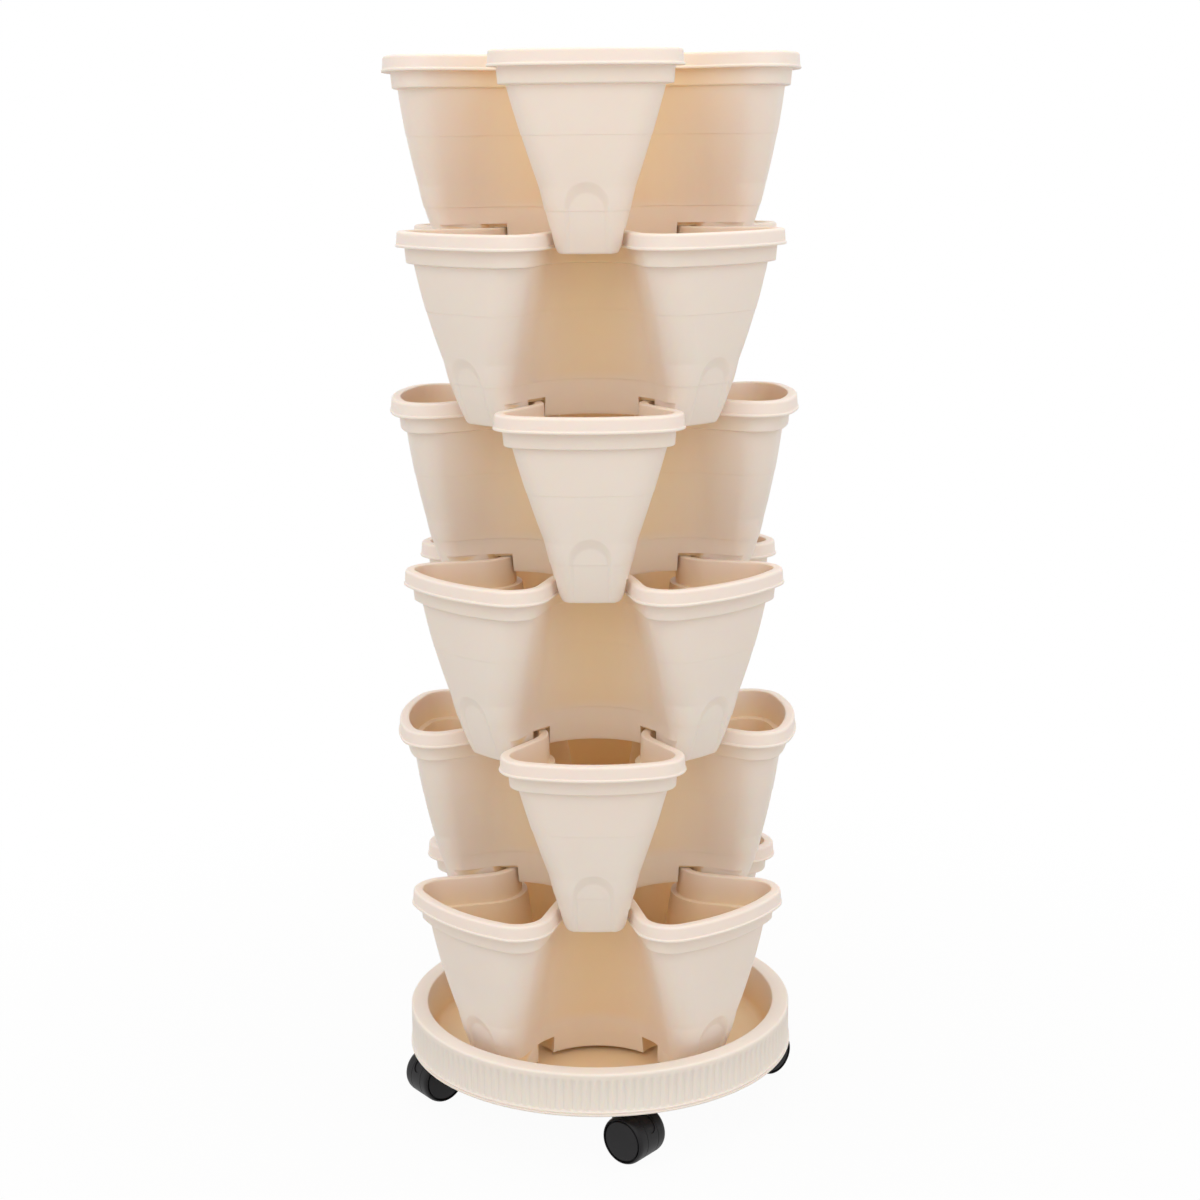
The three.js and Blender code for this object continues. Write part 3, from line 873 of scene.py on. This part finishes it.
# %% The flutes and the turn
part_of_turn = add(turning, "ShaderNodeMath", {0: column, 1: turn_in["Columns"]}, operation="DIVIDE")
angle = add(turning, "ShaderNodeMath", {
    0: part_of_turn.outputs[0], 1: 2 * math.pi,
}, operation="MULTIPLY").outputs[0]
wave_angle = add(turning, "ShaderNodeMath", {0: angle, 1: turn_in["Flutes"]}, operation="MULTIPLY")
wave = add(turning, "ShaderNodeMath", {0: wave_angle.outputs[0]}, operation="COSINE")
hollow = add(turning, "ShaderNodeMath", {0: wave.outputs[0], 1: -0.5, 2: 0.5}, operation="MULTIPLY_ADD")
hollow_here = add(turning, "ShaderNodeMath", {
    0: hollow.outputs[0], 1: flute_share.outputs["Value"],
}, operation="MULTIPLY")
pulled = add(turning, "ShaderNodeMath", {
    0: hollow_here.outputs[0], 1: turn_in["Flute Depth"],
}, operation="MULTIPLY")
on_profile = add(turning, "ShaderNodeSeparateXYZ", {"Vector": place_on_profile.outputs["Value"]})
reach = add(turning, "ShaderNodeMath", {
    0: on_profile.outputs["X"], 1: pulled.outputs[0],
}, operation="SUBTRACT").outputs[0]
cosine = add(turning, "ShaderNodeMath", {0: angle}, operation="COSINE")
sine = add(turning, "ShaderNodeMath", {0: angle}, operation="SINE")
turned_x = add(turning, "ShaderNodeMath", {0: reach, 1: cosine.outputs[0]}, operation="MULTIPLY")
turned_y = add(turning, "ShaderNodeMath", {0: reach, 1: sine.outputs[0]}, operation="MULTIPLY")
turned_place = add(turning, "ShaderNodeCombineXYZ", {
    "X": turned_x.outputs[0], "Y": turned_y.outputs[0], "Z": on_profile.outputs["Z"],
})
bent_grid = add(turning, "GeometryNodeSetPosition", {
    "Geometry": grid.outputs["Mesh"], "Position": turned_place.outputs[0],
})
welded = add(turning, "GeometryNodeMergeByDistance", {
    "Geometry": bent_grid.outputs["Geometry"], "Distance": 1e-6,
})
end_tree(turning, welded.outputs["Geometry"], turn_in["Finish"])
print("nodes in", turning.name, len(turning.nodes))

# %% Turning a piece
def turn_piece(name, points, columns, finish, flutes=0, flute_depth=0.0, fluted_rows=()):
    """Turns a profile of (radius, height) points in mm about Z, its material on the left."""
    outline = bpy.data.meshes.new(name + "_profile")
    outline.from_pydata([(r * MM, 0.0, z * MM) for r, z in points], [], [])
    marks = outline.attributes.new("fluted", "FLOAT", "POINT")
    marks.data.foreach_set("value", [1.0 if i in fluted_rows else 0.0 for i in range(len(points))])
    holder = new_object(name + "_profile", outline)
    piece = grow(name, turning, {
        "Profile": holder, "Rows": len(points), "Columns": columns,
        "Flutes": flutes, "Flute Depth": flute_depth * MM, "Finish": finish,
    })
    bpy.data.objects.remove(holder)
    return piece


test_piece = turn_piece("test", [(0, 0), (10, 0), (10, 10), (0, 10)], 16, cream)
volume_sign = sum(f.normal.dot(f.center) for f in test_piece.data.polygons)
bpy.data.objects.remove(test_piece)
print("turned pieces face", "outwards" if volume_sign > 0 else "inwards")

# %% [markdown]
# ## The tray
# The tray is a shallow dish with a flat rim and a fluted skirt, which ends in a lip with a
# double edge. It is round all over, so it is one turned piece. Its profile starts under the
# middle of the floor, runs out and down inside the skirt, up its outside and back to the axis.

# %% Tray profile
TRAY_RADIUS, TRAY_LIP, TRAY_HEIGHT = 171.0, 1.0, 37.4
TRAY_RIM, TRAY_WALL, TRAY_FLOOR, TRAY_LEAN = 15.0, 2.6, 3.0, 5.0
TRAY_FILLET, TRAY_EDGE, TRAY_INNER_EDGE, LIP_HEIGHT = 6.0, 2.0, 1.5, 4.0
FLUTE_TOP, FLUTE_END = 7, 5.5
tray_foot = round(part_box("tray")[0].z / MM, 3)
skirt = TRAY_RADIUS - TRAY_LIP
rim_inner = skirt - TRAY_RIM
floor_edge = rim_inner - TRAY_LEAN
tray_top = tray_foot + TRAY_HEIGHT
tray_floor_top = tray_foot + TRAY_FLOOR

tray_profile = [
    (0, tray_foot), (floor_edge - TRAY_FILLET, tray_foot), (floor_edge + TRAY_WALL - 2, tray_foot + 1),
    (floor_edge + TRAY_WALL, tray_foot + 4), (rim_inner + TRAY_WALL, tray_top - TRAY_WALL),
    (skirt - TRAY_WALL, tray_top - TRAY_WALL), (skirt - TRAY_WALL, tray_foot),
    (TRAY_RADIUS - 0.5, tray_foot), (TRAY_RADIUS, tray_foot + 0.5), (TRAY_RADIUS, tray_foot + 1.5),
    (skirt + 0.3, tray_foot + 1.9), (skirt + 0.3, tray_foot + 2.3), (TRAY_RADIUS - 0.3, tray_foot + 2.7),
    (TRAY_RADIUS - 0.3, tray_foot + 3.6), (skirt + 0.2, tray_foot + LIP_HEIGHT),
    (skirt, tray_foot + LIP_HEIGHT + 0.4),
]
flute_start = len(tray_profile)
tray_profile += [
    (skirt, tray_foot + LIP_HEIGHT + 1.6), (skirt, tray_top - FLUTE_TOP), (skirt, tray_top - FLUTE_END),
]
flute_rows = range(flute_start, flute_start + 2)
tray_profile += [
    (skirt - TRAY_EDGE * (1 - c), tray_top - TRAY_EDGE * (1 - s)) for s, c in quarter(5)
]
tray_profile += [
    (rim_inner + TRAY_INNER_EDGE * (1 - s), tray_top - TRAY_INNER_EDGE * (1 - c)) for s, c in quarter(4)
]
tray_profile += [
    (floor_edge + 0.2 - TRAY_FILLET * (1 - c), tray_floor_top + TRAY_FILLET * (1 - s)) for s, c in quarter(6)
]
tray_profile.append((0, tray_floor_top))
print("points in the tray's profile", len(tray_profile))

# %% Tray
FLUTE_COUNT, FLUTE_DEPTH, COLUMNS_PER_FLUTE = 144, 0.9, 6
# Painted shade in the tray's dish, deepening towards its floor, at most this much.
TRAY_PAINTED_SHADE = 0.6


def tray_painted_shade(points):
    """The painted-shade number of the tray: shade is painted in its dish, deeper towards the floor; its rim
    and skirt get none.
    """
    in_dish = np.hypot(points[:, 0], points[:, 1]) < rim_inner + 0.5
    above = points[:, 2] > tray_foot + TRAY_FLOOR / 2
    depth = eased((tray_top - points[:, 2]) / (TRAY_HEIGHT - TRAY_FLOOR))
    return np.where(in_dish & above, TRAY_PAINTED_SHADE * depth, 0.0)


tray = turn_piece(
    "rolling_tray", tray_profile, FLUTE_COUNT * COLUMNS_PER_FLUTE, cream,
    FLUTE_COUNT, FLUTE_DEPTH, flute_rows,
)
mark_painted_shade(tray, tray_painted_shade)
smooth(tray, POT_CREASE)
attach(tray, "base")
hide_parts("tray")
print("faces of the tray", len(tray.data.polygons))

# %% [markdown]
# ## The casters
# Each caster has a plated pivot with a round plate under the tray, a black hood between two
# wheels, and an axle. The hood is a barrel flush with the treads, so the three look like one
# drum, and a shallow U is pressed into it below its neck. Each wheel is a tyre ring with a flat
# disc set in it, with a dark gap round the disc. The wheels turn by themselves and the hood
# swivels, so each piece rides on its own body.

# %% Caster sizes
CASTER_REACH, CASTER_BEARING = 138.0, 8.5
CASTER_HEADINGS = (-37.0, 40.0, 110.0, 218.0)
CLEARANCE = 0.3
TRAIL = 15.0
WHEEL_RADIUS, WHEEL_WIDTH = 20.6, 10.6
AXLE_RADIUS, AXLE_INSET = 2.4, 4.0
HOOD_WIDTH, HOOD_LIFT = 14.0, 5.0
STEM_RADIUS, STEM_GRIP, PLATE_RADIUS, PLATE_HEIGHT = 4.0, 14.0, 14.0, 1.6
plate_top = tray_foot - CLEARANCE
plate_bottom = plate_top - PLATE_HEIGHT
hood_top = plate_bottom - CLEARANCE
barrel_half = HOOD_WIDTH / 2
wheel_inner = barrel_half + CLEARANCE
wheel_outer = wheel_inner + WHEEL_WIDTH
axle_half = barrel_half + WHEEL_WIDTH - AXLE_INSET
print("a caster is", round(2 * wheel_outer, 2), "mm wide")

# %% Caster profiles
TREAD_EDGE, PIN_EDGE, PLATE_EDGE, STEM_EDGE = 0.2, 0.3, 0.4, 0.6
SHOULDER_ACROSS, SHOULDER_ALONG = 2.0, 4.9
GAP_DEPTH, GAP_OUTER, DISC_RADIUS = 3.4, 18.3, 17.2
DISC_DOME = ((17.1, 0.7), (16.5, 0.2), (11.0, 0.1), (5.0, 0.05), (0, 0))
NECK_RADIUS, COLLAR_RADIUS, COLLAR_FOOT, COLLAR_BOTTOM = 6.9, 8.4, 5.5, 3.5

bore = AXLE_RADIUS + CLEARANCE
bore_end = axle_half + CLEARANCE
wheel_profile = [
    (0, bore_end), (bore, bore_end), (bore, wheel_inner),
    (WHEEL_RADIUS - TREAD_EDGE, wheel_inner), (WHEEL_RADIUS, wheel_inner + TREAD_EDGE),
]
wheel_profile += [
    (WHEEL_RADIUS - SHOULDER_ACROSS * (1 - c), wheel_outer - 0.15 - SHOULDER_ALONG * (1 - s))
    for s, c in quarter(7)
]
wheel_profile += [
    (GAP_OUTER + 0.1, wheel_outer - 0.4), (GAP_OUTER, wheel_outer - GAP_DEPTH),
    (DISC_RADIUS, wheel_outer - GAP_DEPTH),
]
wheel_profile += [(radius, wheel_outer - drop) for radius, drop in DISC_DOME]
barrel_profile = [
    (0, -barrel_half), (WHEEL_RADIUS - TREAD_EDGE, -barrel_half), (WHEEL_RADIUS, -barrel_half + TREAD_EDGE),
    (WHEEL_RADIUS, barrel_half - TREAD_EDGE), (WHEEL_RADIUS - TREAD_EDGE, barrel_half), (0, barrel_half),
]
neck_profile = [
    (0, WHEEL_RADIUS), (NECK_RADIUS, WHEEL_RADIUS), (NECK_RADIUS, hood_top - COLLAR_FOOT),
    (COLLAR_RADIUS, hood_top - COLLAR_BOTTOM), (COLLAR_RADIUS, hood_top - STEM_EDGE),
    (COLLAR_RADIUS - STEM_EDGE, hood_top), (0, hood_top),
]
stem_end = hood_top - STEM_GRIP
stem_profile = [
    (0, stem_end), (STEM_RADIUS - STEM_EDGE, stem_end), (STEM_RADIUS, stem_end + STEM_EDGE),
    (STEM_RADIUS, plate_bottom), (PLATE_RADIUS - PLATE_EDGE, plate_bottom),
    (PLATE_RADIUS, plate_bottom + PLATE_EDGE), (PLATE_RADIUS, plate_top - PLATE_EDGE),
    (PLATE_RADIUS - PLATE_EDGE, plate_top), (0, plate_top),
]
axle_profile = [
    (0, -axle_half), (AXLE_RADIUS - PIN_EDGE, -axle_half), (AXLE_RADIUS, -axle_half + PIN_EDGE),
    (AXLE_RADIUS, axle_half - PIN_EDGE), (AXLE_RADIUS - PIN_EDGE, axle_half), (0, axle_half),
]
print("points in the wheel's profile", len(wheel_profile))

# %% Placing caster pieces
def stem_place(k):
    """Where the stem of caster k stands, in mm."""
    bearing = math.radians(CASTER_BEARING + 90 * k)
    return CASTER_REACH * math.sin(bearing), -CASTER_REACH * math.cos(bearing)


def move(piece, matrix):
    """Moves a mesh itself, so that its object stays at the origin."""
    piece.data.transform(matrix)
    return piece


def on_axle(piece, side=1):
    """Lays a turned piece on the axle line of a caster that stands at the origin."""
    lay = Matrix.Rotation(math.radians(-90 * side), 4, "X")
    return move(piece, Matrix.Translation((TRAIL * MM, 0, WHEEL_RADIUS * MM)) @ lay)


print("first stem at", [round(value, 1) for value in stem_place(0)], "mm")

# %% [markdown]
# ## The hood
# The hood is made from its barrel and neck, and what it must leave free is cut away: the floor,
# the pressed U, the pivot's bore and the axle's. A cut leaves faces with the tool's material
# or none, so the finished hood is given its one material again.

# %% Hood
U_HALF, U_FOOT, U_DEPTH, U_TOP, U_BAR, U_STEPS = 5.6, 27.0, 0.8, 60, 40, 13
CORE_HALF, EYE_HALF = 20, 12
FLOOR_BLOCK, FLOOR_BLOCK_HEIGHT = 120, 40
BARREL_COLUMNS, NECK_COLUMNS, PIN_COLUMNS, WHEEL_COLUMNS = 96, 40, 32, 80


def pressed_u():
    """What the shallow U takes from the barrel: a U-shaped bar less the barrel's core."""
    angles = np.linspace(-math.pi, 0, U_STEPS)
    plan = U_HALF * np.c_[np.cos(angles), np.sin(angles)] + (0, U_FOOT + U_HALF)
    plan = np.concatenate([plan, [[U_HALF, U_TOP], [-U_HALF, U_TOP]]])
    bar = loft("pressed_u", [at_height(plan, TRAIL + U_BAR), at_height(plan, TRAIL)])
    lay = Matrix(((0, 0, 1, 0), (1, 0, 0, 0), (0, 1, 0, 0), (0, 0, 0, 1)))
    core_radius = WHEEL_RADIUS - U_DEPTH
    core_profile = [(0, -CORE_HALF), (core_radius, -CORE_HALF), (core_radius, CORE_HALF), (0, CORE_HALF)]
    core = on_axle(turn_piece("core", core_profile, BARREL_COLUMNS, nylon))
    return combine(move(bar, lay), core, "DIFFERENCE")


def make_barrel(name):
    """The black hood: a barrel between the wheels, open to the floor, with a neck."""
    barrel = on_axle(turn_piece(name, barrel_profile, BARREL_COLUMNS, nylon))
    block = (FLOOR_BLOCK, FLOOR_BLOCK, FLOOR_BLOCK_HEIGHT)
    combine(barrel, box_body("below", block, (0, 0, HOOD_LIFT - FLOOR_BLOCK_HEIGHT / 2)), "DIFFERENCE")
    combine(barrel, turn_piece("neck", neck_profile, NECK_COLUMNS, nylon), "UNION")
    combine(barrel, pressed_u(), "DIFFERENCE")
    bore_foot = stem_end - CLEARANCE
    stem_bore = round_bar("stem_bore", STEM_RADIUS + CLEARANCE, bore_foot, hood_top + OVERRUN, (0, 0))
    combine(barrel, stem_bore, "DIFFERENCE")
    eye_profile = [(0, -EYE_HALF), (bore, -EYE_HALF), (bore, EYE_HALF), (0, EYE_HALF)]
    combine(barrel, on_axle(turn_piece("eye", eye_profile, PIN_COLUMNS, nylon)), "DIFFERENCE")
    barrel.data.materials.clear()
    barrel.data.materials.append(nylon)
    barrel.data.polygons.foreach_set("material_index", [0] * len(barrel.data.polygons))
    return barrel


# %% Four casters
for k, heading in enumerate(CASTER_HEADINGS):
    caster = f"caster_{k + 1}"
    x, y = stem_place(k)
    stand = Matrix.Translation((x * MM, y * MM, 0)) @ Matrix.Rotation(math.radians(heading), 4, "Z")
    stem = turn_piece(caster + "_plated_stem", stem_profile, NECK_COLUMNS, steel)
    hood = make_barrel(caster + "_barrel")
    axle = on_axle(turn_piece(caster + "_axle_pin", axle_profile, PIN_COLUMNS, steel))
    left = on_axle(turn_piece(caster + "_left_wheel", wheel_profile, WHEEL_COLUMNS, nylon))
    right = on_axle(turn_piece(caster + "_right_wheel", wheel_profile, WHEEL_COLUMNS, nylon), -1)
    for piece, body, node, finish in (
        (stem, "base", "stem", "plated_steel"),
        (hood, caster + "_fork", "hood", "black_plastic"),
        (axle, caster + "_fork", "axle", "plated_steel"),
        (left, caster + "_left", "wheel_left", "black_plastic"),
        (right, caster + "_right", "wheel_right", "black_plastic"),
    ):
        move(piece, stand)
        smooth(piece, CASTER_CREASE)
        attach(piece, body)
        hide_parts(f"{caster}_{node}")
print("casters", len(CASTER_HEADINGS))

# %% [markdown]
# ## Floor and light
# The picture is a plain studio shot on white. The world and the floor look white to the
# camera, to glossy and to transmitted rays, but they light the object at a plain level. The
# floor mixes its own lit white with that glow, so the tower's soft shadow stays.

# %% Floor
FLOOR_HALF = 6.0
NEAR_GLOW, NEAR_DISTANCE, FAR_DISTANCE = 0.96, 0.2, 1.0


def background_rays(tree):
    """1 where a ray belongs to what is seen: the camera's, a reflection's or a refraction's."""
    ray = add(tree, "ShaderNodeLightPath").outputs
    seen = add(tree, "ShaderNodeMath", {
        0: ray["Is Camera Ray"], 1: ray["Is Glossy Ray"],
    }, operation="MAXIMUM")
    return add(tree, "ShaderNodeMath", {
        0: seen.outputs[0], 1: ray["Is Transmission Ray"],
    }, operation="MAXIMUM").outputs[0]


floor_material = bpy.data.materials.new("studio_floor_white")
floor_material.use_nodes = True
floor_tree = floor_material.node_tree
floor_tree.nodes.clear()
floor_diffuse = add(floor_tree, "ShaderNodeBsdfDiffuse", {"Color": linear("CFCDC9")})
floor_glow = add(floor_tree, "ShaderNodeEmission", {"Color": linear("FFFFFF"), "Strength": 1.0})
floor_place = add(floor_tree, "ShaderNodeTexCoord").outputs["Object"]
far_away = add(floor_tree, "ShaderNodeVectorMath", {0: floor_place}, operation="LENGTH").outputs["Value"]
glow_level = add(floor_tree, "ShaderNodeMapRange", {
    "Value": far_away, "From Min": NEAR_DISTANCE, "From Max": FAR_DISTANCE,
    "To Min": NEAR_GLOW, "To Max": 1.0,
}, interpolation_type="SMOOTHSTEP")
glow_share = add(floor_tree, "ShaderNodeMath", {
    0: background_rays(floor_tree), 1: glow_level.outputs["Result"],
}, operation="MULTIPLY")
floor_mix = add(floor_tree, "ShaderNodeMixShader", {
    0: glow_share.outputs[0], 1: floor_diffuse.outputs[0], 2: floor_glow.outputs[0],
})
add(floor_tree, "ShaderNodeOutputMaterial", {"Surface": floor_mix.outputs[0]})

floor_corners = [(x * FLOOR_HALF, y * FLOOR_HALF, 0) for x, y in ((-1, -1), (1, -1), (1, 1), (-1, 1))]
floor_mesh = bpy.data.meshes.new("studio_floor")
floor_mesh.from_pydata(floor_corners, [], [(0, 1, 2, 3)])
floor_mesh.materials.append(floor_material)
floor = new_object("studio_floor", floor_mesh)
print("floor", 2 * FLOOR_HALF, "m wide")

# %% World
AMBIENT_STRENGTH = 0.84
world = bpy.data.worlds.new("studio")
scene.world = world
world.use_nodes = True
world.node_tree.nodes.clear()
seen_strength = add(world.node_tree, "ShaderNodeMapRange", {
    "Value": background_rays(world.node_tree), "To Min": AMBIENT_STRENGTH, "To Max": 1.0,
})
sky = add(world.node_tree, "ShaderNodeBackground", {
    "Color": linear("FFFFFF"), "Strength": seen_strength.outputs["Result"],
})
add(world.node_tree, "ShaderNodeOutputWorld", {"Surface": sky.outputs[0]})
print("ambient light", AMBIENT_STRENGTH)

# %% Lamps
def soft_lamp(name, place, target, size, watts, colour):
    """A square area lamp that faces a point."""
    data = bpy.data.lights.new(name, "AREA")
    data.shape = "SQUARE"
    data.size = size
    data.energy = watts
    data.color = linear(colour)[:3]
    lamp = bpy.data.objects.new(name, data)
    facing = (Vector(place) - Vector(target)).to_track_quat("Z", "Y").to_matrix().to_4x4()
    lamp.matrix_world = Matrix.Translation(place) @ facing
    scene.collection.objects.link(lamp)


tower_middle = (0, 0, 0.5)
soft_lamp("key_left", (-1.2, -1.9, 2.4), tower_middle, 1.8, 11, "FFFAF2")
soft_lamp("fill_right", (1.4, -1.8, 2.3), tower_middle, 1.8, 9, "FFFBF6")
soft_lamp("top", (0.2, -0.3, 3.0), tower_middle, 1.6, 12, "FFFFFF")

scene.view_settings.view_transform = "Standard"
